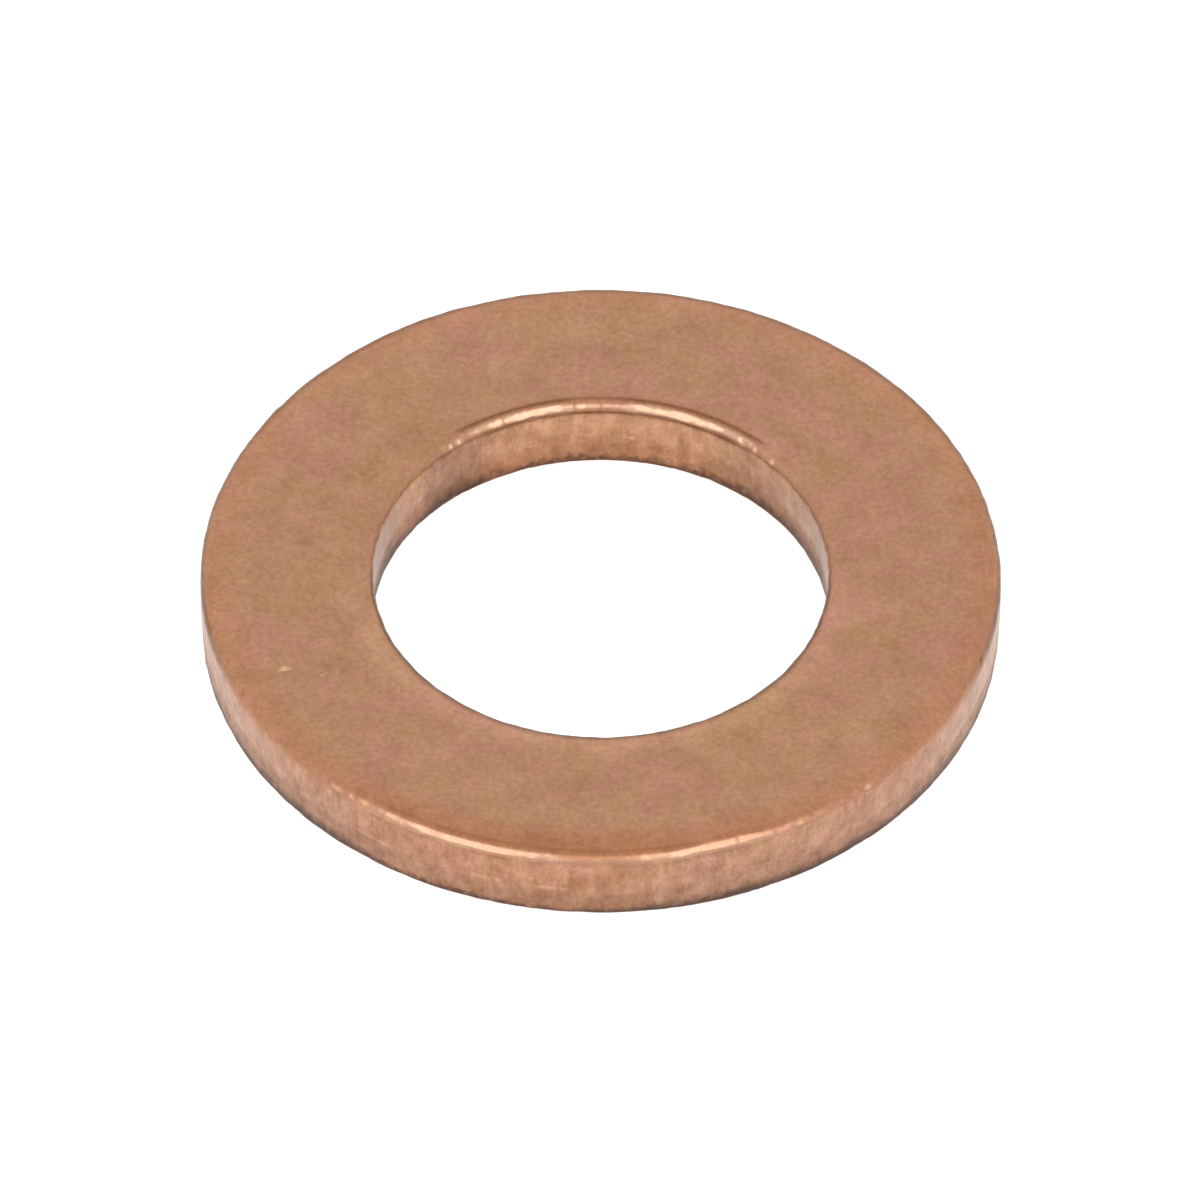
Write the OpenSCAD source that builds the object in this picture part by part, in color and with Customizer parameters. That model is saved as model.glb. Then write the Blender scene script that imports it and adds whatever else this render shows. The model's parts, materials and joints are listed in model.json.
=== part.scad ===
// Flat copper sealing washer for an M8 screw plug, blanked from soft strip and tumbled.
// Both cuts ran down from the top face, so the rim and the bore have the same kind of wall:
// a rolled edge at the top, a burnished land under it, and a torn zone that leans away from
// the land down to the underside.
// It lies on its underside, with +Z up and the origin at the middle of the underside.

/* [Washer] */
// Outside diameter, across the rim's burnished land
outer_d = 15; // [13:0.1:24]
// Bore diameter, across its burnished land
bore_d = 8.5; // [5:0.1:9.5]
// Thickness of the strip
thickness = 1.5; // [1.2:0.1:3]

/* [Rim wall] */
// How far the rolled edge reaches in over the top face
rim_roll_w = 0.6; // [0.4:0.02:0.8]
// How far the rolled edge drops below the top face
rim_roll_h = 0.2; // [0.18:0.01:0.3]
// Height of the torn zone above the underside
rim_tear_h = 0.75; // [0.3:0.05:0.85]
// How far the torn zone draws in by the underside
rim_lean = 0.06; // [0:0.01:0.15]

/* [Bore wall] */
// How far the rolled edge reaches out over the top face
bore_roll_w = 0.5; // [0.4:0.02:0.8]
// How far the rolled edge drops below the top face
bore_roll_h = 0.19; // [0.18:0.01:0.3]
// Height of the torn zone above the underside
bore_tear_h = 0.8; // [0.3:0.05:0.85]
// How far the torn zone opens out by the underside
bore_lean = 0.05; // [0:0.01:0.15]

/* [Edges] */
// Radius between the rolled edge and the burnished land
corner_r = 0.15; // [0.05:0.01:0.17]
// Radius that tumbling left where the burr was
burr_r = 0.05; // [0.02:0.01:0.12]

/* [Hidden] */
$fn = 180;
rim_r = outer_d / 2;
bore_r = bore_d / 2;
half_band = (rim_r - bore_r) / 2;

// The part of a disc that lies within an outline.
module disc_within(centre, r, outline) {
    intersection() {
        translate(centre) circle(r = r);
        polygon(outline);
    }
}

// Half of the section, from the middle of the band to one wall, whose land is at x = 0.
// A broad arc rolls the top face over, and a tight arc takes it on round to the land. They meet
// on the line through both their centres, so they are tangent there.
module cut_side(roll_w, roll_h, tear_h, lean) {
    slope = 2 * atan((roll_h - corner_r) / (roll_w - corner_r));
    roll_r = corner_r + (roll_w - corner_r) / sin(slope);
    land_top = thickness - roll_h;
    corner_centre = [-corner_r, land_top];
    seam_end = corner_centre + (roll_h + corner_r) * [tan(slope), 1];
    clear_x = seam_end.x + 2 * corner_r;

    tilt = atan(lean / tear_h);
    burr_leg = burr_r * tan(45 - tilt / 2);
    tear_foot = [burr_leg * sin(tilt) - lean, burr_leg * cos(tilt)];
    under_end = [-lean - burr_leg, 0];

    polygon([
        [-half_band, 0],
        under_end,
        tear_foot,
        [0, tear_h],
        [0, land_top],
        [-roll_w, land_top],
        [-roll_w, thickness],
        [-half_band, thickness]
    ]);
    // Broad arc
    disc_within([-roll_w, thickness - roll_r], roll_r, [
        [-roll_w, land_top],
        corner_centre,
        seam_end,
        [-roll_w, seam_end.y]
    ]);
    // Tight arc
    disc_within(corner_centre, corner_r, [
        corner_centre,
        [clear_x, land_top],
        [clear_x, seam_end.y],
        seam_end
    ]);
    // Worn burr
    disc_within([under_end.x, burr_r], burr_r, [
        under_end,
        [under_end.x, -burr_r],
        [burr_r, -burr_r],
        [burr_r, tear_foot.y],
        tear_foot
    ]);
}

// The whole section, with the rim's wall to the right and the bore's wall to the left.
module section() {
    translate([rim_r, 0]) cut_side(rim_roll_w, rim_roll_h, rim_tear_h, rim_lean);
    translate([bore_r, 0]) mirror([1, 0]) cut_side(bore_roll_w, bore_roll_h, bore_tear_h, bore_lean);
}

module sealing_washer() {
    color([0.72, 0.51, 0.39]) rotate_extrude() section();
}

sealing_washer();
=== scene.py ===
"""A blanked copper sealing washer, lying on a pale floor under soft studio light.

The ring is one spun section with two cut walls. Tearing, tumbling and handling are then worked
into its vertices, and its copper finishes share the same grain, mottling and rubbing effects.
Highlights, sheen and shade along its edges, sides and lower edges are painted into the copper's
colour.
"""

import json
import math
import random
from collections import namedtuple

import bmesh
import bpy
from bpy.props import FloatProperty, FloatVectorProperty, IntProperty, PointerProperty
from mathutils import Matrix, Vector, kdtree, noise


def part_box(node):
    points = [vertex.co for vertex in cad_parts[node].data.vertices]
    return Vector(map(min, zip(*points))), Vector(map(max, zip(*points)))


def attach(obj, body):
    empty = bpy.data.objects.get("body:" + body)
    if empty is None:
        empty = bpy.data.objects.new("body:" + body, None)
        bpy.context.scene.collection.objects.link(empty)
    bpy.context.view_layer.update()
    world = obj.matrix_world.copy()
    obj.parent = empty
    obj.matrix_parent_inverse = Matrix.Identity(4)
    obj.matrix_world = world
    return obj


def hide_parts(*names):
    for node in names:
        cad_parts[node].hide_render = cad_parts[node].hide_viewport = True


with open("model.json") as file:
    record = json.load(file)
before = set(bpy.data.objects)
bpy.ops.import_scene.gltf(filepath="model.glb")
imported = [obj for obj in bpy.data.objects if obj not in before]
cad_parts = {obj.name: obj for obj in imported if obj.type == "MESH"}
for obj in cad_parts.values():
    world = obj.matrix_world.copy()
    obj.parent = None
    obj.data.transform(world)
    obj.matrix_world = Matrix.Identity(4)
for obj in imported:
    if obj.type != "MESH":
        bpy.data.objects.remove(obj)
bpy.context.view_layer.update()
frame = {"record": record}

bl_info = {
    "name": "Copper sealing washer",
    "version": (1, 0, 0),
    "blender": (4, 5, 0),
    "location": "View3D > Sidebar > Washer",
    "description": "Builds a blanked copper sealing washer and its photographic stage",
    "category": "Add Mesh",
}

NODE = "sealing_washer"
BODY = "root"
MM = 0.001
IMAGE_WIDTH = 1200

node_low, node_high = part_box(NODE)
bore_mount = next(m for m in frame["record"]["mounts"] if m["name"] == "bore")

WHITE = (1.0, 1.0, 1.0, 1.0)
FACE, RIM, BORE = range(3)
# The edge's effects kept at the vertices: a redder band that is partly painted shade, a painted
# highlight on bare copper, painted sheen, painted shade in creases and along edges that face
# away, the wall's upright share, and painted sheen on the rim's sides with painted shade on the
# bore's.
EDGE_SHARES = ("rubbed", "burnished", "paled", "creased", "tarnished", "upright", "grimed")

# Azimuths in degrees, anticlockwise from +X. The camera stands opposite REAR.
REAR = 90
# Places of the painted dark breaks in the painted highlight on each edge.
RIM_BREAKS = (-122.5, -69.7, -64.3)
BORE_BREAKS = (115.3, 96.6, 90.0)
RIM_FLAT = -72
# Where the rim's sides carry no painted sheen, and where the painted shade on the bore's sides is
# strongest and widest.
RIM_CLEANEST = -104
BORE_DIRTIEST = 131
BORE_DULL = 26

Wall = namedtuple("Wall", "radius side roll_width roll_drop torn_height lean")
Dent = namedtuple("Dent", "place facing along length width depth shine")
Steps = namedtuple("Steps", "top roll corner land torn burr underside")
STEPS = Steps(top=8, roll=6, corner=12, land=8, torn=18, burr=4, underside=3)

# Dents have half their length, half their width and their depth in mm.
# Top face: x, y, length, width, angle, depth, and shine, which paints a highlight into the bowl,
# or paints shade into it where it is below 0.
FACE_DENTS = (
    (-5.88, -2.64, 0.22, 0.10, 0.1, 0.036, 1.0),
    (-5.20, -2.78, 0.10, 0.07, 0.2, 0.008, 0.5),
    (5.17, 0.05, 0.16, 0.04, 0.22, 0.008, 0.5),
    (-0.12, -4.74, 0.11, 0.05, 0.0, 0.008, 0.5),
    (0.47, 5.98, 0.09, 0.08, 0.0, 0.008, 0.5),
    (-2.83, 4.11, 0.08, 0.05, 0.6, 0.008, 0.5),
    (-0.51, 5.27, 0.10, 0.07, 0.0, 0.008, 0.5),
    (-2.50, -6.09, 0.11, 0.05, -0.4, 0.008, 0.5),
    (-4.64, 4.17, 0.06, 0.05, 0.0, 0.006, 0.5),
    (4.48, 4.26, 0.06, 0.05, 0.9, 0.006, 0.5),
    (1.47, 6.25, 0.09, 0.05, 0.0, 0.012, -0.7),
    (3.17, -4.80, 0.05, 0.04, 0.0, 0.006, -0.4),
    (-6.66, -3.22, 0.08, 0.05, 0.0, 0.008, -0.6),
    (7.10, -2.24, 0.13, 0.035, 1.3, 0.008, -0.7),
    (5.86, -4.46, 0.06, 0.04, 0.0, 0.006, -0.5),
)
SCATTER_SEED = 8
SCATTER_COUNT = 8
# Rolled edges: azimuth and length.
RIM_EDGE_DENTS = ((-131.0, 0.24), (-128.2, 0.13), (-60.4, 0.20), (-48.2, 0.13))
BORE_EDGE_DENTS = ((131.3, 0.09), (128.8, 0.12), (51.6, 0.12), (47.4, 0.08), (41.4, 0.09))
EDGE_DENT_WIDTH = 0.09 * MM
EDGE_DENT_DEPTH = 0.012 * MM
# Walls: azimuth, height, length, width, slant in degrees, and depth.
RIM_WALL_DENTS = (
    (-141, 0.72, 0.09, 0.045, 8, 0.022),
    (-154, 0.98, 0.07, 0.04, 20, 0.020),
    (-47.5, 0.80, 0.07, 0.05, -10, 0.020),
)
BORE_WALL_DENTS = (
    (22, 0.62, 0.08, 0.05, 60, 0.018),
    (141, 1.20, 0.06, 0.045, 10, 0.018),
)
LIP_REACH = 1.8
LIP_HEIGHT = 0.12

BURNISHED_ROUGHNESS = 0.12

# Soft lamps, with their sides as shares of the distance.
Lamp = namedtuple("Lamp", "name share direction width height turn")
LAMPS = (
    Lamp("lamp_left", 1.0, (-0.43, -0.49, 0.757), 0.58, 1.2, -1),
    Lamp("lamp_right", 1.0, (0.42, -0.50, 0.757), 0.57, 1.2, 1),
    Lamp("lamp_middle", 0.32, (0.0, -0.60, 0.80), 0.28, 0.5, 0),
)
LAMP_DISTANCE = 1.2


class WasherSizes(bpy.types.PropertyGroup):
    """Sizes of the ring, whose radii and thickness are the frame's, and of its cut walls."""

    outer_radius: FloatProperty(
        name="Outer radius", description="Radius of the rim's burnished land",
        default=round(node_high.x, 5), min=0.001, unit="LENGTH")
    bore_radius: FloatProperty(
        name="Bore radius", description="Radius of the bore's burnished land",
        default=bore_mount["dims"]["r_mm"] * MM, min=0.0005, unit="LENGTH")
    thickness: FloatProperty(
        name="Thickness", description="Thickness of the strip",
        default=round(node_high.z, 5), min=0.0005, unit="LENGTH")
    rim_roll_width: FloatProperty(
        name="Rim roll width", description="How far the rim's rolled edge reaches over the top",
        default=0.6 * MM, min=0.0001, unit="LENGTH")
    rim_roll_drop: FloatProperty(
        name="Rim roll drop", description="How far the rim's rolled edge drops",
        default=0.24 * MM, min=0.0001, unit="LENGTH")
    rim_torn_height: FloatProperty(
        name="Rim torn height", description="Height of the rim's torn zone",
        default=0.75 * MM, min=0.0001, unit="LENGTH")
    rim_lean: FloatProperty(
        name="Rim lean", description="How far the rim's torn zone draws in",
        default=0.03 * MM, min=0.0, unit="LENGTH")
    bore_roll_width: FloatProperty(
        name="Bore roll width", description="How far the bore's rolled edge reaches over the top",
        default=0.5 * MM, min=0.0001, unit="LENGTH")
    bore_roll_drop: FloatProperty(
        name="Bore roll drop", description="How far the bore's rolled edge drops",
        default=0.21 * MM, min=0.0001, unit="LENGTH")
    bore_torn_height: FloatProperty(
        name="Bore torn height", description="Height of the bore's torn zone",
        default=0.8 * MM, min=0.0001, unit="LENGTH")
    bore_lean: FloatProperty(
        name="Bore lean", description="How far the bore's torn zone opens out",
        default=0.02 * MM, min=0.0, unit="LENGTH")
    corner_radius: FloatProperty(
        name="Corner radius", description="Radius between a rolled edge and its land",
        default=0.2 * MM, min=0.00002, unit="LENGTH")
    burr_radius: FloatProperty(
        name="Burr radius", description="Radius left where the burr was worn away",
        default=0.05 * MM, min=0.00001, unit="LENGTH")
    segments: IntProperty(
        name="Segments", description="Steps of the section round the ring",
        default=640, min=64, max=1024)


class WearSettings(bpy.types.PropertyGroup):
    """How deep the marks of cutting and handling are, and how high the painted shade at the foot
    reaches.
    """

    boundary_wander: FloatProperty(
        name="Boundary wander", description="How far the land's lower edge wanders up and down",
        default=0.09 * MM, min=0.0, unit="LENGTH")
    torn_step: FloatProperty(
        name="Torn step", description="How far the torn zone lies behind the land",
        default=0.002 * MM, min=0.0, unit="LENGTH")
    torn_depth: FloatProperty(
        name="Torn depth", description="Depth of the ledges in the torn zone",
        default=0.009 * MM, min=0.0, unit="LENGTH")
    land_ripple: FloatProperty(
        name="Land ripple", description="Height of the drag marks across the land",
        default=0.002 * MM, min=0.0, unit="LENGTH")
    nick_depth: FloatProperty(
        name="Nick depth", description="Depth of the nicks along the rolled edges",
        default=0.03 * MM, min=0.0, unit="LENGTH")
    flat_depth: FloatProperty(
        name="Flat depth", description="Depth of the long flat knocked into the rim's edge",
        default=0.055 * MM, min=0.0, unit="LENGTH")
    chip_depth: FloatProperty(
        name="Chip depth", description="Depth of the chips along the lower edges",
        default=0.012 * MM, min=0.0, unit="LENGTH")
    face_waviness: FloatProperty(
        name="Face waviness", description="Height of the shallow waves in the top face",
        default=0.002 * MM, min=0.0, unit="LENGTH")
    rim_tear_drop: FloatProperty(
        name="Rim tear drop", description="How far below the rim's land its tear line shows",
        default=0.06 * MM, min=0.0, unit="LENGTH")
    bore_tear_drop: FloatProperty(
        name="Bore tear drop", description="How far below the bore's land its tear line shows",
        default=0.08 * MM, min=0.0, unit="LENGTH")
    # Height of the painted shade at the foot of each wall.
    rim_residue_height: FloatProperty(
        name="Rim residue height", description="How high residue reaches up the rim",
        default=0.21 * MM, min=0.00001, unit="LENGTH")
    bore_residue_height: FloatProperty(
        name="Bore residue height", description="How high residue reaches up the bore",
        default=0.32 * MM, min=0.00001, unit="LENGTH")


class CopperColours(bpy.types.PropertyGroup):
    """Colours of the copper's finishes."""

    face_tan: FloatVectorProperty(
        name="Face, tan patches", description="Tan patches of the tumbled face",
        subtype="COLOR", default=(0.406, 0.2255, 0.110), min=0.0, max=1.0)
    face_pink: FloatVectorProperty(
        name="Face, pink patches", description="Pinker patches of the tumbled face",
        subtype="COLOR", default=(0.432, 0.2020, 0.143), min=0.0, max=1.0)
    # Beside the rolled edges: partly copper reddened by rubbing, partly painted shade where the
    # roll reflects less light.
    rubbed: FloatVectorProperty(
        name="Rubbed edge", description="Redder copper beside the rolled edges",
        subtype="COLOR", default=(0.41, 0.175, 0.086), min=0.0, max=1.0)
    # Painted highlight: paler bare copper laid where the lamps reflect in the edges, together
    # with low roughness.
    burnished: FloatVectorProperty(
        name="Burnished edge", description="Bare copper on the steepest part of the edges",
        subtype="COLOR", default=(0.62, 0.37, 0.245), min=0.0, max=1.0)
    rim_tan: FloatVectorProperty(
        name="Rim, tan patches", description="Tan patches of the rim's wall",
        subtype="COLOR", default=(0.368, 0.191, 0.103), min=0.0, max=1.0)
    rim_pink: FloatVectorProperty(
        name="Rim, pink patches", description="Pinker patches of the rim's wall",
        subtype="COLOR", default=(0.382, 0.183, 0.120), min=0.0, max=1.0)
    bore_tan: FloatVectorProperty(
        name="Bore, golden patches", description="Golden patches of the bore's wall",
        subtype="COLOR", default=(0.432, 0.235, 0.121), min=0.0, max=1.0)
    bore_pink: FloatVectorProperty(
        name="Bore, pink patches", description="Pinker patches of the bore's wall",
        subtype="COLOR", default=(0.436, 0.220, 0.134), min=0.0, max=1.0)
    # The torn tints are painted shade that darkens the lower walls.
    rim_torn: FloatVectorProperty(
        name="Rim, torn tint", description="Tint of the rim's torn zone beside its land",
        subtype="COLOR", default=(0.91, 0.94, 0.96), min=0.0, max=1.0)
    bore_torn: FloatVectorProperty(
        name="Bore, torn tint", description="Tint of the bore's torn zone beside its land",
        subtype="COLOR", default=(0.90, 0.85, 0.81), min=0.0, max=1.0)
    # Painted shade in the creases beside the edge highlights.
    crease: FloatVectorProperty(
        name="Crease tint", description="Tint of the dark creases along the rolled edges",
        subtype="COLOR", default=(0.48, 0.39, 0.31), min=0.0, max=1.0)
    # Painted shade along the rolled edges where they turn away from the camera.
    tarnish: FloatVectorProperty(
        name="Tarnish tint", description="Grey film along the edges that are least handled",
        subtype="COLOR", default=(0.42, 0.43, 0.43), min=0.0, max=1.0)
    # Painted shade along the walls' lower edges, where the ring meets the floor.
    rim_residue: FloatVectorProperty(
        name="Rim residue", description="Residue along the rim's lower edge",
        subtype="COLOR", default=(0.11, 0.06, 0.043), min=0.0, max=1.0)
    bore_residue: FloatVectorProperty(
        name="Bore residue", description="Residue along the bore's lower edge",
        subtype="COLOR", default=(0.14, 0.064, 0.038), min=0.0, max=1.0)
    # Painted sheen that pales the rim's wall at its sides.
    rim_grime: FloatVectorProperty(
        name="Rim grime tint", description="Tint of the rim where it is least handled",
        subtype="COLOR", default=(0.98, 1.04, 1.09), min=0.0, max=2.0)
    # Painted shade that darkens the bore's wall at its sides.
    bore_grime: FloatVectorProperty(
        name="Bore grime tint", description="Tint of the bore where most dirt stays",
        subtype="COLOR", default=(0.66, 0.66, 0.69), min=0.0, max=1.0)


class StageSettings(bpy.types.PropertyGroup):
    """Camera, lights and floor."""

    camera_distance: FloatProperty(
        name="Camera distance", description="Distance from the camera to its aim",
        default=0.458, min=0.01, unit="LENGTH")
    camera_elevation: FloatProperty(
        name="Camera elevation", description="Camera's height above the horizon",
        default=math.radians(45.97), subtype="ANGLE")
    camera_roll: FloatProperty(
        name="Camera roll", description="Turn of the camera about its line of sight",
        default=math.radians(0.152), subtype="ANGLE")
    pixels_per_mm: FloatProperty(
        name="Pixels per millimetre", description="Scale of the picture at the aim",
        default=53.28, min=1.0)
    aim_rise: FloatProperty(
        name="Aim rise", description="How far the aim lies above the origin in the picture",
        default=0.452 * MM, unit="LENGTH")
    aim_left: FloatProperty(
        name="Aim left", description="How far the aim lies left of the origin in the picture",
        default=0.0113 * MM, unit="LENGTH")
    sky_light: FloatProperty(
        name="Sky light", description="Brightness of the even surroundings",
        default=1.11, min=0.0)
    lamp_light: FloatProperty(
        name="Lamp light", description="Brightness of the soft lamps beside the camera",
        default=1.0, min=0.0)
    lamp_splay: FloatProperty(
        name="Lamp splay", description="Turn of each lamp that spreads their lower ends apart",
        default=math.radians(18), subtype="ANGLE")
    floor_colour: FloatVectorProperty(
        name="Floor colour", description="Pale floor", subtype="COLOR",
        default=(0.8, 0.8, 0.8), min=0.0, max=1.0)
    floor_glow: FloatProperty(
        name="Floor glow", description="Light that comes through the floor from below",
        default=0.54, min=0.0)
    floor_gap: FloatProperty(
        name="Floor gap", description="Hairline between the floor and the washer's underside",
        default=0.01 * MM, min=0.0, unit="LENGTH")


def smooth(low, high, value):
    """0 below low, 1 above high, and an even curve between."""
    share = min(1.0, max(0.0, (value - low) / (high - low)))
    return share * share * (3 - 2 * share)


def wander(azimuth, waves, seed):
    """A random value from about -1 to 1 that changes smoothly round the ring and closes."""
    return noise.noise(Vector((math.cos(azimuth) * waves, math.sin(azimuth) * waves, seed)))


def walls_of(sizes):
    """The rim's wall and the bore's wall."""
    rim = Wall(sizes.outer_radius, 1, sizes.rim_roll_width, sizes.rim_roll_drop,
               sizes.rim_torn_height, sizes.rim_lean)
    bore = Wall(sizes.bore_radius, -1, sizes.bore_roll_width, sizes.bore_roll_drop,
                sizes.bore_torn_height, sizes.bore_lean)
    return rim, bore


def run_to(bm, tip, radius, height, steps):
    """Extrudes the section's open end in equal steps to a point."""
    start = tip.co.copy()
    end = Vector((radius, 0, height))
    for step in range(steps):
        tip = bmesh.ops.extrude_vert_indiv(bm, verts=[tip])["verts"][0]
        tip.co = start.lerp(end, (step + 1) / steps)
    return tip


def turn_about(bm, tip, radius, height, angle, steps):
    """Extrudes the section's open end along an arc about a point."""
    made = bmesh.ops.spin(bm, geom=[tip], cent=(radius, 0, height), axis=(0, 1, 0),
                          angle=angle, steps=steps)
    return made["geom_last"][0]


def draw_half_section(bm, sizes, wall):
    """Draws the section from the middle of the top, over one wall, to the middle below."""
    middle = (sizes.outer_radius + sizes.bore_radius) / 2
    side = wall.side
    corner = sizes.corner_radius
    slope = 2 * math.atan((wall.roll_drop - corner) / (wall.roll_width - corner))
    roll_radius = corner + (wall.roll_width - corner) / math.sin(slope)
    land_top = sizes.thickness - wall.roll_drop
    roll_start = wall.radius - side * wall.roll_width

    tilt = math.atan(wall.lean / wall.torn_height)
    burr_leg = sizes.burr_radius * math.tan(math.pi / 4 - tilt / 2)
    foot = wall.radius - side * wall.lean
    tear_end = foot + side * burr_leg * math.sin(tilt)
    burr_centre = foot - side * burr_leg

    tip = bm.verts.new((middle, 0, sizes.thickness))
    tip = run_to(bm, tip, roll_start, sizes.thickness, STEPS.top)
    tip = turn_about(bm, tip, roll_start, sizes.thickness - roll_radius, side * slope,
                     STEPS.roll)
    tip = turn_about(bm, tip, wall.radius - side * corner, land_top,
                     side * (math.pi / 2 - slope), STEPS.corner)
    tip = run_to(bm, tip, wall.radius, wall.torn_height, STEPS.land)
    tip = run_to(bm, tip, tear_end, burr_leg * math.cos(tilt), STEPS.torn)
    tip = turn_about(bm, tip, burr_centre, sizes.burr_radius, side * (math.pi / 2 + tilt),
                     STEPS.burr)
    run_to(bm, tip, middle, 0, STEPS.underside)


def spin_ring(bm, sizes):
    """Spins the whole section into a closed ring."""
    for wall in walls_of(sizes):
        draw_half_section(bm, sizes, wall)
    section = list(bm.verts) + list(bm.edges)
    bmesh.ops.spin(bm, geom=section, cent=(0, 0, 0), axis=(0, 0, 1), angle=math.tau,
                   steps=sizes.segments, use_merge=True)
    bmesh.ops.remove_doubles(bm, verts=bm.verts, dist=0.0005 * MM)
    bmesh.ops.recalc_face_normals(bm, faces=bm.faces)


def nearest_wall(walls, radius):
    """The wall on whose side of the band a radius lies."""
    rim, bore = walls
    return rim if radius > (rim.radius + bore.radius) / 2 else bore


def torn_boundary(wall, wear, azimuth):
    """Height at which the land ends and the torn zone starts."""
    waves = wall.radius / MM
    seed = 3.0 + wall.side
    lift = wander(azimuth, waves * 0.5, seed) + 0.5 * wander(azimuth, waves * 2.2, seed + 7)
    return wall.torn_height + wear.boundary_wander * lift


def grime(wall, azimuth):
    """How far painted sheen pales the rim's wall, and painted shade darkens the bore's wall, at
    an azimuth in degrees.
    """
    if wall.side > 0:
        return 1 - 0.75 * (1 - smooth(16, 28, abs(azimuth - RIM_CLEANEST)))
    patch = 1 - smooth(3, 17, abs(azimuth - BORE_DIRTIEST))
    wide = 1 - smooth(22, 42, abs(azimuth - BORE_DULL))
    far = smooth(54, 76, abs(azimuth - REAR))
    return 0.15 + 0.85 * max(patch, 0.6 * wide, far)


def break_share(wall, azimuth):
    """How far one of the painted dark breaks in the painted highlight covers an azimuth in
    degrees.
    """
    places = RIM_BREAKS if wall.side > 0 else BORE_BREAKS
    along = min(math.radians(abs(azimuth - place)) * wall.radius for place in places)
    return 1 - smooth(0.015 * MM, 0.05 * MM, along)


def edge_shares(wall, sizes, vert):
    """How far each of the edge's effects covers a vertex.

    Distances behind the wall and above the land are in corner radii or in roll widths, and
    towards is 1 where the wall faces the camera squarely and -1 where it faces away.
    """
    azimuth = math.degrees(math.atan2(vert.co.y, vert.co.x))
    behind = wall.side * (wall.radius - math.hypot(vert.co.x, vert.co.y))
    above_land = (vert.co.z - sizes.thickness + wall.roll_drop) / sizes.corner_radius
    shares = dict.fromkeys(EDGE_SHARES, 0.0)
    shares["upright"] = 1 - smooth(0.15, 0.7, above_land)
    # Painted sheen on the rim's sides and painted shade on the bore's sides.
    shares["grimed"] = grime(wall, azimuth)
    if vert.co.z < sizes.thickness / 2:
        # Beside the lower edge: a redder, darker band, partly painted shade.
        shares["rubbed"] = 0.5 * (1 - smooth(0, 4 * sizes.burr_radius, behind))
        return shares
    over_roll = behind / wall.roll_width
    over_corner = behind / sizes.corner_radius
    above_wall = smooth(-0.3, 0.2, above_land)
    towards = -wall.side * vert.co.y / wall.radius
    rightward = smooth(-0.5, 0.5, vert.co.x / wall.radius)
    from_middle = abs(abs(azimuth) - REAR)
    # Bands just above and below the edge highlight, where painted shade is laid.
    upper = 1 - smooth(0, 0.4, abs(over_corner - 1.15))
    lower = (1 - smooth(0, 0.3, abs(above_land - 0.2))) * (1 - smooth(0.7, 1.0, over_corner))
    # Painted shade along the edge, reaching furthest where it turns away from the camera.
    reach = 0.5 + 0.8 * smooth(0.0, 0.8, -towards)
    tarnished = (1 - smooth(0.25, 1.0, over_corner / reach)) * above_wall
    # Painted dark breaks in the highlight.
    broken = break_share(wall, azimuth) * above_wall * (1 - smooth(0.8, 1.2, over_corner))
    # Painted sheen on the rolled edges that turn away from the camera.
    paled = (1 - smooth(0.6, 1.6, over_roll)) * smooth(-0.2, 0.6, -towards)
    if wall.side > 0:
        # How squarely the rim's edge faces the camera; the redder band, painted shade and painted
        # highlight follow it.
        handled = smooth(0.7, 0.88, towards - 0.1 * rightward)
        rubbed = (1 - smooth(0.5, 1.7, over_roll)) * (0.5 + 0.5 * handled)
        tarnished *= 1 - smooth(0.1, 0.5, towards)
        creased = max(0.35 * upper * handled, 0.25 * lower * handled, 0.05 * broken)
        # Painted highlight where the lamps reflect in the rim's edge, weaker in the gap between
        # them.
        burnished = handled * (1 - smooth(0.5, 0.8, over_corner)) * (1 - 0.5 * broken)
        burnished *= 0.8 - 0.5 * (1 - smooth(3, 8, from_middle))
        paled *= 0.5
    else:
        middle = 1 - smooth(4, 10, from_middle)
        # How squarely the bore's edge faces the camera; the redder band, painted shade and
        # painted highlight follow it.
        handled = smooth(0.8, 0.89, towards + 0.07 * rightward)
        rubbed = (1 - smooth(0.4, 1.0, over_roll)) * 0.5 * handled
        tarnished *= 1 - smooth(-0.15, 0.1, towards)
        creased = max(upper * handled * (1 - 0.3 * middle), lower * handled, 0.1 * broken)
        # The bore's painted highlight lies in a window across the corner where the lamps reflect.
        below = 0.25 * (1 - smooth(0.86, 0.93, towards) * (1 - middle))
        above = 0.72 - 0.2 * middle
        burnished = handled * smooth(below - 0.1, below + 0.05, over_corner) * (1 - 0.8 * broken)
        burnished *= 1 - smooth(above - 0.15, above + 0.1, over_corner)
    shares.update(rubbed=rubbed, burnished=burnished, paled=paled, creased=creased,
                  tarnished=tarnished)
    return shares


def mark_finishes(bm, sizes):
    """Gives each face its finish, and each vertex its shares of the edge's effects."""
    walls = walls_of(sizes)
    for face in bm.faces:
        centre = face.calc_center_median()
        wall = nearest_wall(walls, math.hypot(centre.x, centre.y))
        behind = wall.side * (wall.radius - math.hypot(centre.x, centre.y))
        above_land = centre.z - sizes.thickness + wall.roll_drop
        if above_land > 0:
            on_wall = behind < sizes.corner_radius and above_land < 0.7 * sizes.corner_radius
        else:
            on_wall = behind < wall.lean + 0.3 * sizes.burr_radius
        cut = RIM if wall.side > 0 else BORE
        face.material_index = cut if on_wall else FACE
    layers = {name: bm.verts.layers.float.new(name) for name in EDGE_SHARES}
    for vert in bm.verts:
        wall = nearest_wall(walls, math.hypot(vert.co.x, vert.co.y))
        shares = edge_shares(wall, sizes, vert)
        for name, layer in layers.items():
            vert[layer] = shares[name]


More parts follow.
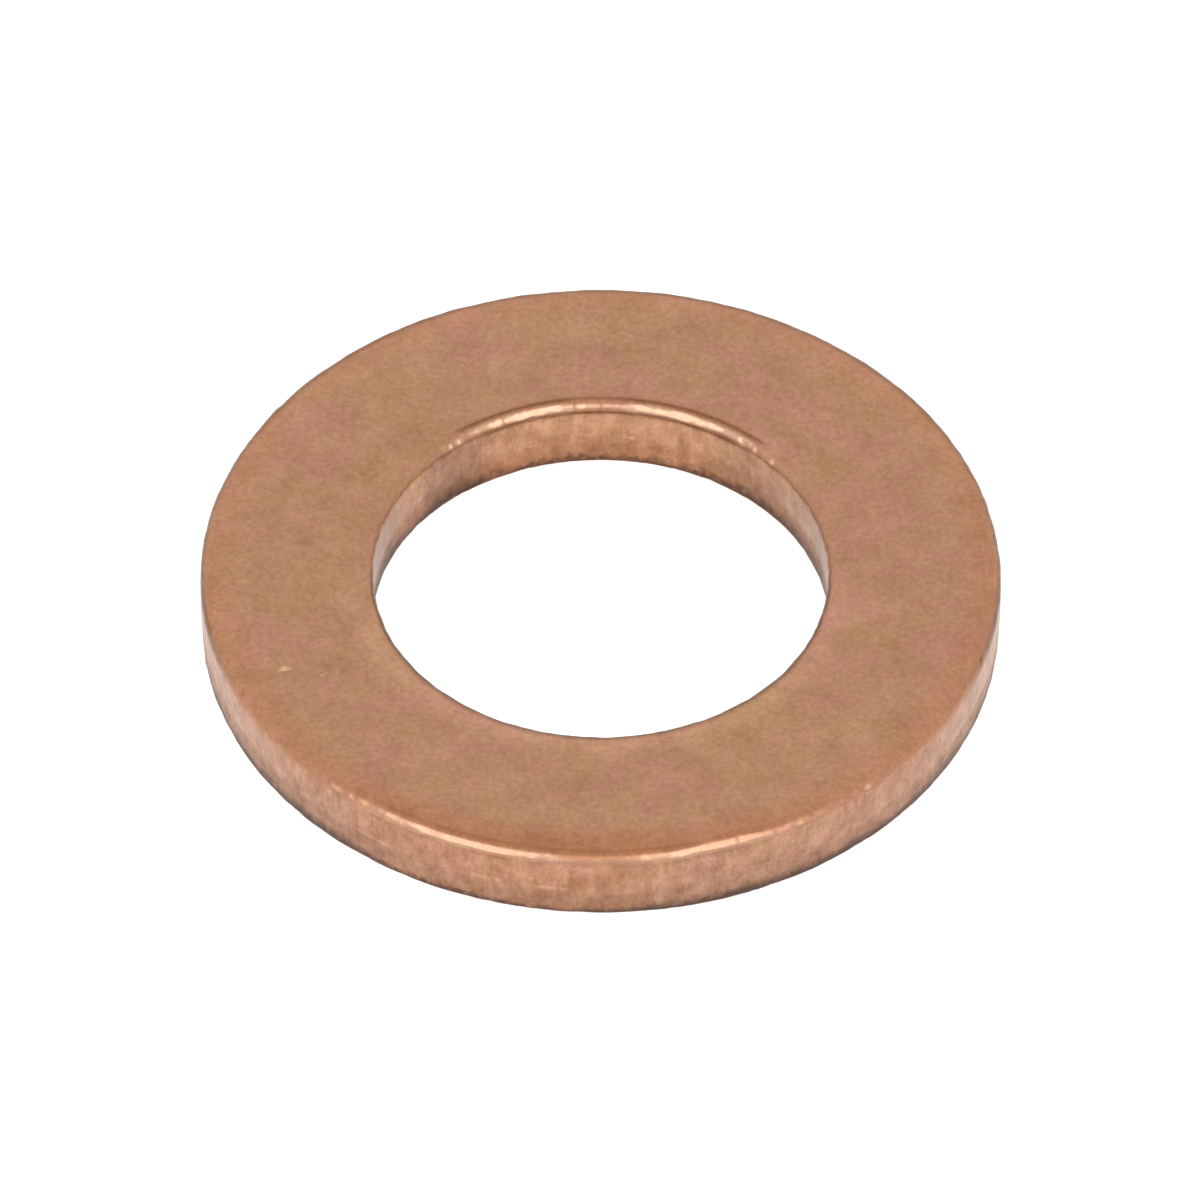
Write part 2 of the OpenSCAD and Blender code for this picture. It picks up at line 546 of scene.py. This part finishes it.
def press_in(vert, wall, depth, lift=0.0):
    """Moves a wall's vertex straight into the metal, and up by a share of that."""
    azimuth = math.atan2(vert.co.y, vert.co.x)
    inward = Vector((math.cos(azimuth), math.sin(azimuth), 0)) * -wall.side
    vert.co += inward * depth
    vert.co.z += lift * depth


def tear_wall(vert, wall, wear, azimuth):
    """Leaves drag marks on the land, and sets the rough torn zone a little behind it."""
    below = torn_boundary(wall, wear, azimuth) - vert.co.z
    place = vert.co / MM
    drag = noise.noise(Vector((place.x * 4, place.y * 4, place.z * 0.8)))
    ledge_place = Vector((place.x * 1.4, place.y * 1.4, place.z * 8))
    ledges = noise.noise(ledge_place) + 0.6 * noise.noise(ledge_place * 2.3)
    torn = smooth(-0.02 * MM, 0.08 * MM, below)
    depth = wear.torn_step * smooth(0, 0.12 * MM, below)
    depth += wear.torn_depth * (0.5 + ledges) * torn
    depth += wear.land_ripple * drag * (1 + torn)
    press_in(vert, wall, depth)


def chip_foot(vert, wall, wear, azimuth):
    """Breaks small chips out of the wall's lower edge."""
    waves = wall.radius / MM
    chips = wander(azimuth, waves * 2.6, 11 + wall.side) + 0.7 * wander(azimuth, waves * 7, 21)
    near_foot = 1 - smooth(0, 0.16 * MM, vert.co.z)
    press_in(vert, wall, wear.chip_depth * max(0.0, chips + 0.1) * near_foot, lift=0.35)


def nick_edge(vert, wall, sizes, wear, azimuth):
    """Wears the rolled edge unevenly and dents it here and there."""
    land_top = sizes.thickness - wall.roll_drop
    behind = wall.side * (wall.radius - math.hypot(vert.co.x, vert.co.y))
    on_edge = 1 - smooth(0.5 * sizes.corner_radius, 1.5 * sizes.corner_radius, behind)
    on_edge *= smooth(land_top - 0.5 * sizes.corner_radius, land_top + 0.3 * sizes.corner_radius,
                      vert.co.z)
    waves = wall.radius / MM
    place = Vector((vert.co.x, vert.co.y, vert.co.z * 1.6)) / MM
    uneven = 0.3 * wander(azimuth, waves * 0.45, 50 + wall.side)
    uneven += 0.24 * noise.noise(place * 1.9) + 0.26 * noise.noise(place * 4.6)
    nicks = max(0.0, wander(azimuth, waves * 1.9, 31 + wall.side * 3) - 0.42) * 1.4
    nicks *= 0.35 + 0.65 * smooth(0, 0.6, -wall.side * vert.co.y / wall.radius)
    press_in(vert, wall, wear.nick_depth * (uneven + nicks) * on_edge, lift=-0.8)
    if wall.side > 0:
        from_flat = abs(math.degrees(azimuth) - RIM_FLAT)
        press_in(vert, wall, wear.flat_depth * (1 - smooth(2, 8, from_flat)) * on_edge)


def wear_ring(bm, sizes, wear):
    """Works the cutting and tumbling marks into the ring's vertices."""
    walls = walls_of(sizes)
    for vert in bm.verts:
        radius = math.hypot(vert.co.x, vert.co.y)
        azimuth = math.atan2(vert.co.y, vert.co.x)
        wall = nearest_wall(walls, radius)
        behind = wall.side * (wall.radius - radius)
        land_top = sizes.thickness - wall.roll_drop
        if behind < wall.lean + 2 * sizes.burr_radius and vert.co.z < land_top:
            tear_wall(vert, wall, wear, azimuth)
            chip_foot(vert, wall, wear, azimuth)
        if behind < 2 * sizes.corner_radius and vert.co.z > land_top - sizes.corner_radius:
            nick_edge(vert, wall, sizes, wear, azimuth)
        if vert.co.z > sizes.thickness - 0.01 * MM:
            wave = noise.noise(Vector((vert.co.x, vert.co.y, 0)) / MM * 0.8)
            vert.co.z -= wear.face_waviness * (1 + wave)


def face_dent(sizes, x, y, length, width, angle, depth, shine):
    """A dent in the top face, given in millimetres."""
    along = Vector((math.cos(angle), math.sin(angle), 0))
    return Dent(Vector((x * MM, y * MM, sizes.thickness)), Vector((0, 0, 1)), along,
                length * MM, width * MM, depth * MM, shine)


def directions_at(azimuth):
    """The way out from the axis, and the way round the ring, at an azimuth in degrees."""
    turn = math.radians(azimuth)
    outward = Vector((math.cos(turn), math.sin(turn), 0))
    return outward, Vector((-math.sin(turn), math.cos(turn), 0))


def wall_dent(wall, azimuth, height, length, width, slant, depth):
    """A dent in a wall, at an azimuth and slant in degrees and a height in millimetres."""
    outward, round_ring = directions_at(azimuth)
    tip = math.radians(slant)
    along = round_ring * math.cos(tip) + Vector((0, 0, 1)) * math.sin(tip)
    place = outward * wall.radius + Vector((0, 0, height * MM))
    return Dent(place, outward * wall.side, along, length * MM, width * MM, depth * MM, 1.0)


def edge_dent(wall, sizes, azimuth, length):
    """A dent along a rolled edge, at an azimuth in degrees."""
    outward, round_ring = directions_at(azimuth)
    inset = sizes.corner_radius * (1 - math.sqrt(0.5))
    place = outward * (wall.radius - wall.side * inset)
    place.z = sizes.thickness - wall.roll_drop + sizes.corner_radius - inset
    facing = (outward * wall.side + Vector((0, 0, 1))).normalized()
    return Dent(place, facing, round_ring, length * MM, EDGE_DENT_WIDTH, EDGE_DENT_DEPTH, 1.0)


def handling_dents(sizes):
    """The dents and scratches that stand out."""
    rim, bore = walls_of(sizes)
    dents = [edge_dent(rim, sizes, *dent) for dent in RIM_EDGE_DENTS]
    dents += [edge_dent(bore, sizes, *dent) for dent in BORE_EDGE_DENTS]
    dents += [face_dent(sizes, *dent) for dent in FACE_DENTS]
    dents += [wall_dent(rim, *dent) for dent in RIM_WALL_DENTS]
    dents += [wall_dent(bore, *dent) for dent in BORE_WALL_DENTS]
    return dents


def scattered_dents(sizes, count, low, high):
    """Small dents strewn over the top face, between two radii in mm, by a seeded draw."""
    draw = random.Random(SCATTER_SEED)
    dents = []
    for _ in range(count):
        azimuth = draw.uniform(0, math.tau)
        radius = draw.uniform(low, high)
        length = draw.uniform(0.03, 0.055)
        dents.append(face_dent(
            sizes, math.cos(azimuth) * radius, math.sin(azimuth) * radius, length,
            length * draw.uniform(0.5, 0.9), draw.uniform(0, math.pi),
            draw.uniform(0.002, 0.006), 0.5))
    return dents


def tree_of(points):
    """A search tree over a list of points."""
    tree = kdtree.KDTree(len(points))
    for index, point in enumerate(points):
        tree.insert(point, index)
    tree.balance()
    return tree


def press_dents(bm, dents):
    """Refines the mesh round each dent, then presses an oval hollow, painting a highlight into a
    bright dent's bowl and shade into a dark one's.
    """
    layers = {True: bm.verts.layers.float["burnished"], False: bm.verts.layers.float["creased"]}
    faces = list(bm.faces)
    tree = tree_of([face.calc_center_median() for face in faces])
    edges = {}
    for dent in dents:
        for _, index, _ in tree.find_range(dent.place, 1.2 * dent.length + 0.04 * MM):
            edges.update(dict.fromkeys(faces[index].edges))
    bmesh.ops.subdivide_edges(bm, edges=list(edges), cuts=3, use_grid_fill=True)
    verts = list(bm.verts)
    tree = tree_of([vert.co for vert in verts])
    for dent in dents:
        across = dent.facing.cross(dent.along)
        for _, index, _ in tree.find_range(dent.place, LIP_REACH * dent.length):
            offset = verts[index].co - dent.place
            away = math.hypot(offset.dot(dent.along) / dent.length,
                              offset.dot(across) / dent.width)
            bowl = 1 - smooth(0, 1, away)
            lip = smooth(0.7, 1.1, away) * (1 - smooth(1.1, LIP_REACH, away))
            verts[index].co -= dent.facing * dent.depth * (bowl - LIP_HEIGHT * lip)
            # A bright dent gets a painted highlight in its bowl, a dark dent painted shade.
            layer = layers[dent.shine > 0]
            verts[index][layer] = max(verts[index][layer], abs(dent.shine) * bowl)


class Tree:
    """Adds and links the nodes of one material, group or world."""

    def __init__(self, tree):
        self.tree = tree

    def add(self, kind, inputs=None, **settings):
        """Adds a node, sets its options, and links or sets its inputs by name."""
        node = self.tree.nodes.new(kind)
        for name, value in settings.items():
            setattr(node, name, value)
        for name, value in (inputs or {}).items():
            if isinstance(value, bpy.types.NodeSocket):
                self.tree.links.new(value, node.inputs[name])
            else:
                node.inputs[name].default_value = value
        return node

    def math(self, operation, a, b=0.0, clamp=False):
        """One sum of two values."""
        node = self.add("ShaderNodeMath", {0: a, 1: b}, operation=operation, use_clamp=clamp)
        return node.outputs[0]

    def blend(self, share, a, b):
        """A colour between two colours."""
        node = self.add("ShaderNodeMix", {0: share, 6: a, 7: b}, data_type="RGBA")
        return node.outputs[2]

    def spread(self, value, low, high, to_low=0.0, to_high=1.0):
        """Maps a value from one range to another, held at its ends."""
        inputs = {"Value": value, "From Min": low, "From Max": high,
                  "To Min": to_low, "To Max": to_high}
        return self.add("ShaderNodeMapRange", inputs).outputs["Result"]

    def tone(self, colour, share, swing):
        """Deepens a colour at share 0 and pales it at share 1, most in its weak channels."""
        gains = {axis: self.spread(share, 0.0, 1.0, 1 - swing * pull, 1 + swing * pull)
                 for axis, pull in zip("XYZ", (0.8, 1.0, 1.2))}
        return self.multiply(colour, self.add("ShaderNodeCombineXYZ", gains).outputs[0])

    def multiply(self, colour, tint):
        """One colour times another."""
        inputs = {0: colour, 1: tint}
        return self.add("ShaderNodeVectorMath", inputs, operation="MULTIPLY").outputs[0]

    def link(self, start, end):
        """Links an output to an input."""
        self.tree.links.new(start, end)


def new_group(name, inputs, outputs):
    """A shader node group with named value inputs and outputs."""
    group = bpy.data.node_groups.new(name, "ShaderNodeTree")
    for label, default in inputs.items():
        socket = group.interface.new_socket(label, in_out="INPUT", socket_type="NodeSocketFloat")
        socket.default_value = default
    for label in outputs:
        group.interface.new_socket(label, in_out="OUTPUT", socket_type="NodeSocketFloat")
    tree = Tree(group)
    return group, tree, tree.add("NodeGroupInput").outputs, tree.add("NodeGroupOutput").inputs


def attribute_value(tree, name):
    """A value stored at the vertices."""
    return tree.add("ShaderNodeAttribute", attribute_name=name).outputs["Fac"]


def height_value(tree):
    """Height above the underside."""
    place = tree.add("ShaderNodeTexCoord").outputs["Object"]
    return tree.add("ShaderNodeSeparateXYZ", {0: place}).outputs["Z"]


def scaled_place(tree, width, height=None):
    """Object coordinates divided by a feature's width, and by its height in Z."""
    place = tree.add("ShaderNodeTexCoord").outputs["Object"]
    sizes = tree.add("ShaderNodeCombineXYZ", {"X": width, "Y": width, "Z": height or width})
    inputs = {0: place, 1: sizes.outputs[0]}
    return tree.add("ShaderNodeVectorMath", inputs, operation="DIVIDE").outputs[0]


def noise_value(tree, place, detail, roughness, offset=0.0):
    """Fractal noise at a place."""
    moved = tree.add("ShaderNodeVectorMath", {0: place, 1: (offset, offset, offset)},
                     operation="ADD").outputs[0]
    inputs = {"Vector": moved, "Scale": 1.0, "Detail": detail, "Roughness": roughness}
    return tree.add("ShaderNodeTexNoise", inputs).outputs[0]


def grain_group():
    """Fine satin grain of tumbled copper."""
    group, tree, given, made = new_group(
        "Tumbled grain", {"Grain Size": 0.08 * MM}, ("Height", "Speckle"))
    place = scaled_place(tree, given["Grain Size"])
    speckle = noise_value(tree, place, 2.0, 0.6)
    coarser = noise_value(tree, place, 1.0, 0.5, offset=17.0)
    tree.link(tree.math("ADD", speckle, coarser), made["Height"])
    tree.link(tree.spread(speckle, 0.3, 0.7), made["Speckle"])
    return group


def mottling_group():
    """Patches that change in depth and in hue, each on its own."""
    group, tree, given, made = new_group(
        "Copper mottling", {"Patch Width": 0.6 * MM, "Patch Height": 0.6 * MM},
        ("Depth", "Hue"))
    place = scaled_place(tree, given["Patch Width"], given["Patch Height"])
    depth = noise_value(tree, place, 5.0, 0.72, offset=5.0)
    hue = noise_value(tree, place, 5.0, 0.74, offset=23.0)
    tree.link(tree.spread(depth, 0.33, 0.67), made["Depth"])
    tree.link(tree.spread(hue, 0.35, 0.65), made["Hue"])
    return group


def drag_group():
    """Upright drag marks of the cut."""
    group, tree, given, made = new_group(
        "Drag marks", {"Mark Width": 0.05 * MM, "Mark Height": 0.7 * MM}, ("Height", "Marks"))
    place = scaled_place(tree, given["Mark Width"], given["Mark Height"])
    marks = noise_value(tree, place, 2.0, 0.6)
    tree.link(marks, made["Height"])
    tree.link(tree.spread(marks, 0.32, 0.68), made["Marks"])
    return group


def tear_group():
    """Where the wall tore below its land, and a painted highlight along the step of the tear on
    some stretches.
    """
    group, tree, given, made = new_group(
        "Tear line", {"Height": 0.7 * MM, "Wander": 0.2 * MM}, ("Torn", "Ledge"))
    height = height_value(tree)
    ragged = noise_value(tree, scaled_place(tree, 1.1 * MM, 2.2 * MM), 4.0, 0.6, offset=41.0)
    lift = tree.math("MULTIPLY", tree.math("SUBTRACT", ragged, 0.5), given["Wander"])
    below = tree.math("SUBTRACT", tree.math("ADD", given["Height"], lift), height)
    torn = tree.spread(below, -0.02 * MM, 0.24 * MM)
    rise = tree.spread(below, -0.08 * MM, 0.0)
    fall = tree.spread(below, 0.0, 0.08 * MM, 1.0, 0.0)
    stretches = noise_value(tree, scaled_place(tree, 0.9 * MM), 3.0, 0.65, offset=31.0)
    ledge = tree.math("MULTIPLY", tree.math("MULTIPLY", rise, fall),
                      tree.spread(stretches, 0.48, 0.57))
    tree.link(torn, made["Torn"])
    tree.link(ledge, made["Ledge"])
    return group


def rub_group():
    """Where the edges are redder with painted shade beside them and bare with a painted
    highlight, broken up a little.
    """
    group, tree, given, made = new_group("Edge rub", {"Break Up": 0.3}, ("Rub", "Burnish"))
    rubbed = attribute_value(tree, "rubbed")
    burnished = attribute_value(tree, "burnished")
    ragged = noise_value(tree, scaled_place(tree, 0.3 * MM), 3.0, 0.6)
    loss = tree.math("MULTIPLY", given["Break Up"], ragged)
    tree.link(tree.math("SUBTRACT", rubbed, loss, clamp=True), made["Rub"])
    tree.link(tree.spread(tree.math("SUBTRACT", burnished, loss), 0.0, 0.85), made["Burnish"])
    return group


def foot_group():
    """Painted shade along the lower edges of the walls, where the ring meets the floor."""
    group, tree, given, made = new_group(
        "Foot residue", {"Height": 0.1 * MM, "Raggedness": 0.1 * MM}, ("Residue",))
    height = height_value(tree)
    short = noise_value(tree, scaled_place(tree, 0.18 * MM), 4.0, 0.7)
    long = noise_value(tree, scaled_place(tree, 2.2 * MM), 1.0, 0.5, offset=9.0)
    ragged = tree.math("ADD", tree.math("MULTIPLY", short, 0.7),
                       tree.math("MULTIPLY", long, 0.3))
    lift = tree.math("MULTIPLY", tree.math("SUBTRACT", ragged, 0.5), given["Raggedness"])
    level = tree.math("SUBTRACT", height, lift)
    grimed = tree.spread(attribute_value(tree, "grimed"), 0.0, 1.0, 0.6, 1.6)
    share = tree.math("DIVIDE", level, tree.math("MULTIPLY", given["Height"], grimed))
    tree.link(tree.spread(share, 0.3, 1.0, 1.0, 0.0), made["Residue"])
    return group


def copper_material(name):
    """A bare material with its shader, fully metallic."""
    material = bpy.data.materials.new(name)
    material.use_nodes = True
    shader = material.node_tree.nodes["Principled BSDF"]
    shader.inputs["Metallic"].default_value = 1.0
    return material, Tree(material.node_tree), shader.inputs


def place_group(tree, group, **values):
    """Places a shared group, with its own values for this material."""
    node = tree.add("ShaderNodeGroup", node_tree=group)
    for name, value in values.items():
        node.inputs[name.replace("_", " ")].default_value = value
    return node.outputs


def bump_normal(tree, height, distance):
    """A normal bumped by a height, whose full range is a real distance."""
    inputs = {"Height": height, "Distance": distance, "Strength": 1.0}
    return tree.add("ShaderNodeBump", inputs).outputs["Normal"]


def rgba(colour):
    """A colour with its alpha."""
    return (*colour, 1.0)


def darken_creases(tree, copper, colours):
    """Tints copper with painted shade in the creases along the highlights and along the edges
    that face away from the camera.
    """
    for name, tint in (("creased", colours.crease), ("tarnished", colours.tarnish)):
        share = attribute_value(tree, name)
        copper = tree.multiply(copper, tree.blend(share, WHITE, rgba(tint)))
    return copper


def face_material(colours, groups):
    """Tumbled satin copper, redder with painted shade beside the rolled edges, bare with a
    painted highlight on them, and paler with painted sheen where they turn away.
    """
    material, tree, shader = copper_material("tumbled_copper_face")
    grain = place_group(tree, groups["grain"], Grain_Size=0.105 * MM)
    mottling = place_group(tree, groups["mottling"], Patch_Width=0.75 * MM,
                           Patch_Height=0.75 * MM)
    clouds = place_group(tree, groups["mottling"], Patch_Width=3.0 * MM,
                         Patch_Height=3.0 * MM)
    edge = place_group(tree, groups["rub"])
    hue = tree.math("ADD", tree.math("MULTIPLY", mottling["Hue"], 0.5),
                    tree.math("MULTIPLY", clouds["Hue"], 0.5))
    satin = tree.blend(hue, rgba(colours.face_tan), rgba(colours.face_pink))
    # Redder, darker band beside the edges: partly copper reddened by rubbing, partly painted
    # shade.
    satin = tree.blend(edge["Rub"], satin, rgba(colours.rubbed))
    satin = tree.tone(satin, mottling["Depth"], swing=0.13)
    satin = tree.tone(satin, clouds["Depth"], swing=0.05)
    # Painted sheen on the edges that turn away from the camera.
    paled = tree.spread(attribute_value(tree, "paled"), 0.0, 1.0, 0.5, 1.0)
    satin = tree.tone(satin, paled, swing=0.17)
    # Painted highlight on the bare edges.
    satin = tree.blend(edge["Burnish"], satin, rgba(colours.burnished))
    satin = tree.tone(satin, grain["Speckle"], swing=0.12)
    tree.link(darken_creases(tree, satin, colours), shader["Base Color"])
    dull = tree.spread(mottling["Depth"], 0.0, 1.0, 0.36, 0.44)
    tree.link(tree.spread(edge["Burnish"], 0.0, 1.0, dull, BURNISHED_ROUGHNESS),
              shader["Roughness"])
    height = tree.math("MULTIPLY", grain["Height"], tree.spread(edge["Burnish"], 0, 1, 1, 0.25))
    tree.link(bump_normal(tree, height, 0.002 * MM), shader["Normal"])
    return material


def wall_material(name, tints, tear_height, foot_height, colours, groups):
    """Sheared wall: dragged smooth above, torn rough below and darkened there with painted shade,
    with a painted highlight along the step of the tear, painted sheen on the rim's sides and
    painted shade on the bore's, and painted shade at its foot.
    """
    tan, pink, torn_tint, dark, dirt = (rgba(tint) for tint in tints)
    material, tree, shader = copper_material(name)
    grain = place_group(tree, groups["grain"], Grain_Size=0.06 * MM)
    mottling = place_group(tree, groups["mottling"], Patch_Width=0.32 * MM,
                           Patch_Height=0.42 * MM)
    drag = place_group(tree, groups["drag"], Mark_Width=0.08 * MM, Mark_Height=0.6 * MM)
    tear = place_group(tree, groups["tear"], Height=tear_height)
    residue = place_group(tree, groups["foot"], Height=foot_height,
                          Raggedness=2.7 * foot_height)
    edge = place_group(tree, groups["rub"])
    upright = attribute_value(tree, "upright")
    satin = tree.blend(mottling["Hue"], rgba(colours.face_tan), rgba(colours.face_pink))
    # Painted highlight where the corner runs down into the wall.
    satin = tree.blend(edge["Burnish"], satin, rgba(colours.burnished))
    copper = tree.blend(mottling["Hue"], tan, pink)
    # Painted shade that darkens the torn zone below the land.
    copper = tree.multiply(copper, tree.blend(tear["Torn"], WHITE, torn_tint))
    copper = tree.tone(copper, mottling["Depth"], swing=0.31)
    copper = tree.tone(copper, drag["Marks"], swing=0.08)
    # Painted sheen on the rim's sides and painted shade on the bore's sides.
    grimed = attribute_value(tree, "grimed")
    # Painted highlight along the step of the tear.
    ledge = tree.math("MULTIPLY", tear["Ledge"], tree.math("SUBTRACT", 1.0, grimed))
    copper = tree.tone(copper, tree.spread(ledge, 0.0, 1.0, 0.5, 1.0), swing=0.55)
    dirty = tree.blend(grimed, WHITE, dirt)
    # Painted shade at the foot of the wall.
    copper = tree.blend(residue["Residue"], copper, dark)
    copper = tree.multiply(copper, dirty)
    copper = tree.blend(upright, satin, copper)
    copper = tree.tone(copper, grain["Speckle"], swing=0.08)
    tree.link(darken_creases(tree, copper, colours), shader["Base Color"])
    satin_rough = tree.spread(edge["Burnish"], 0.0, 1.0, 0.4, BURNISHED_ROUGHNESS)
    wall_rough = tree.spread(tear["Torn"], 0.0, 1.0, 0.34, 0.46)
    tree.link(tree.spread(upright, 0.0, 1.0, satin_rough, wall_rough), shader["Roughness"])
    fine = tree.math("MULTIPLY", grain["Height"], tree.spread(tear["Torn"], 0, 1, 0.5, 1.6))
    height = tree.math("MULTIPLY", tree.math("ADD", drag["Height"], fine),
                       tree.spread(upright, 0, 1, 0.3, 1.0))
    tree.link(bump_normal(tree, height, 0.0014 * MM), shader["Normal"])
    return material


class WASHER_OT_build_ring(bpy.types.Operator):
    """Spin, wear and finish the copper ring"""

    bl_idname = "washer.build_ring"
    bl_label = "Build the ring"

    def execute(self, context):
        sizes = context.scene.washer_sizes
        wear = context.scene.washer_wear
        colours = context.scene.washer_colours
        bm = bmesh.new()
        spin_ring(bm, sizes)
        mark_finishes(bm, sizes)
        wear_ring(bm, sizes, wear)
        strewn = scattered_dents(sizes, SCATTER_COUNT, low=5.0, high=6.6)
        press_dents(bm, handling_dents(sizes) + strewn)
        for face in bm.faces:
            face.smooth = True
        mesh = bpy.data.meshes.new("copper_ring")
        bm.to_mesh(mesh)
        bm.free()
        groups = {"grain": grain_group(), "mottling": mottling_group(), "drag": drag_group(),
                  "tear": tear_group(), "rub": rub_group(), "foot": foot_group()}
        mesh.materials.append(face_material(colours, groups))
        mesh.materials.append(wall_material(
            "sheared_copper_rim",
            (colours.rim_tan, colours.rim_pink, colours.rim_torn, colours.rim_residue,
             colours.rim_grime),
            sizes.rim_torn_height - wear.rim_tear_drop, wear.rim_residue_height, colours, groups))
        mesh.materials.append(wall_material(
            "sheared_copper_bore",
            (colours.bore_tan, colours.bore_pink, colours.bore_torn, colours.bore_residue,
             colours.bore_grime),
            sizes.bore_torn_height - wear.bore_tear_drop, wear.bore_residue_height, colours,
            groups))
        ring = bpy.data.objects.new("copper_ring", mesh)
        context.scene.collection.objects.link(ring)
        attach(ring, BODY)
        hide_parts(NODE)
        return {"FINISHED"}


def build_floor(scene, stage):
    """A wide pale floor, softly lit from below as well, that is clear from its underside."""
    bm = bmesh.new()
    bmesh.ops.create_circle(bm, cap_ends=True, segments=96, radius=2.0)
    mesh = bpy.data.meshes.new("floor")
    bm.to_mesh(mesh)
    bm.free()
    material = bpy.data.materials.new("pale_floor")
    material.use_nodes = True
    material.node_tree.nodes.clear()
    tree = Tree(material.node_tree)
    matt = tree.add("ShaderNodeBsdfDiffuse", {"Color": rgba(stage.floor_colour)}).outputs[0]
    glow = tree.add("ShaderNodeEmission", {"Strength": stage.floor_glow}).outputs[0]
    above = tree.add("ShaderNodeAddShader", {0: matt, 1: glow}).outputs[0]
    clear = tree.add("ShaderNodeBsdfTransparent").outputs[0]
    below = tree.add("ShaderNodeNewGeometry").outputs["Backfacing"]
    mix = tree.add("ShaderNodeMixShader", {0: below, 1: above, 2: clear}).outputs[0]
    tree.add("ShaderNodeOutputMaterial", {"Surface": mix})
    mesh.materials.append(material)
    floor = bpy.data.objects.new("floor", mesh)
    floor.location.z = -stage.floor_gap
    scene.collection.objects.link(floor)


def build_surroundings(scene, stage):
    """Even, soft surroundings."""
    world = bpy.data.worlds.new("soft_surroundings")
    world.use_nodes = True
    background = world.node_tree.nodes["Background"].inputs
    background["Color"].default_value = WHITE
    background["Strength"].default_value = stage.sky_light
    scene.world = world


def build_lamp(scene, stage, lamp):
    """An oval soft lamp that faces the washer from overhead in front."""
    light = bpy.data.lights.new(lamp.name, "AREA")
    light.shape = "ELLIPSE"
    light.size = lamp.width * LAMP_DISTANCE
    light.size_y = lamp.height * LAMP_DISTANCE
    area = light.size * light.size_y * math.pi / 4
    light.energy = lamp.share * stage.lamp_light * math.pi * area
    holder = bpy.data.objects.new(lamp.name, light)
    away = Vector(lamp.direction).normalized()
    along = away.cross(Vector((1, 0, 0))).normalized()
    along.rotate(Matrix.Rotation(lamp.turn * stage.lamp_splay, 3, away))
    turn = Matrix((along.cross(away), along, away)).transposed()
    holder.matrix_world = Matrix.Translation(away * LAMP_DISTANCE) @ turn.to_4x4()
    scene.collection.objects.link(holder)


def build_camera(scene, stage):
    """A long lens at the photograph's angle."""
    camera = bpy.data.cameras.new("camera")
    camera.sensor_width = 36.0
    millimetres = stage.camera_distance / MM
    camera.lens = stage.pixels_per_mm * millimetres * camera.sensor_width / IMAGE_WIDTH
    camera.clip_start = 0.01
    camera.clip_end = 10.0
    elevation = stage.camera_elevation
    back = Vector((0, -math.cos(elevation), math.sin(elevation)))
    up = Vector((0, math.sin(elevation), math.cos(elevation)))
    aim = up * stage.aim_rise - Vector((1, 0, 0)) * stage.aim_left
    holder = bpy.data.objects.new("camera", camera)
    turn = back.to_track_quat("Z", "Y").to_matrix().to_4x4()
    roll = Matrix.Rotation(stage.camera_roll, 4, "Z")
    holder.matrix_world = Matrix.Translation(aim + back * stage.camera_distance) @ turn @ roll
    scene.collection.objects.link(holder)
    scene.camera = holder


class WASHER_OT_build_stage(bpy.types.Operator):
    """Lay the floor and place the lights and the camera"""

    bl_idname = "washer.build_stage"
    bl_label = "Build the stage"

    def execute(self, context):
        scene = context.scene
        stage = scene.washer_stage
        build_floor(scene, stage)
        build_surroundings(scene, stage)
        for lamp in LAMPS:
            build_lamp(scene, stage, lamp)
        build_camera(scene, stage)
        scene.view_settings.view_transform = "Standard"
        return {"FINISHED"}


class WASHER_PT_sidebar(bpy.types.Panel):
    """Lists the washer's pieces and settings"""

    bl_label = "Copper sealing washer"
    bl_space_type = "VIEW_3D"
    bl_region_type = "UI"
    bl_category = "Washer"

    def draw(self, context):
        layout = self.layout
        for operator in (WASHER_OT_build_ring, WASHER_OT_build_stage):
            layout.operator(operator.bl_idname)
        for group in SETTINGS:
            settings = getattr(context.scene, group)
            for name in settings.__annotations__:
                layout.prop(settings, name)


SETTINGS = {
    "washer_sizes": WasherSizes,
    "washer_wear": WearSettings,
    "washer_colours": CopperColours,
    "washer_stage": StageSettings,
}
CLASSES = (*SETTINGS.values(), WASHER_OT_build_ring, WASHER_OT_build_stage, WASHER_PT_sidebar)


def register():
    for cls in CLASSES:
        bpy.utils.register_class(cls)
    for name, group in SETTINGS.items():
        setattr(bpy.types.Scene, name, PointerProperty(type=group))


def unregister():
    for name in SETTINGS:
        delattr(bpy.types.Scene, name)
    for cls in reversed(CLASSES):
        bpy.utils.unregister_class(cls)


def main():
    register()
    bpy.ops.washer.build_ring()
    bpy.ops.washer.build_stage()


if __name__ == "__main__":
    main()
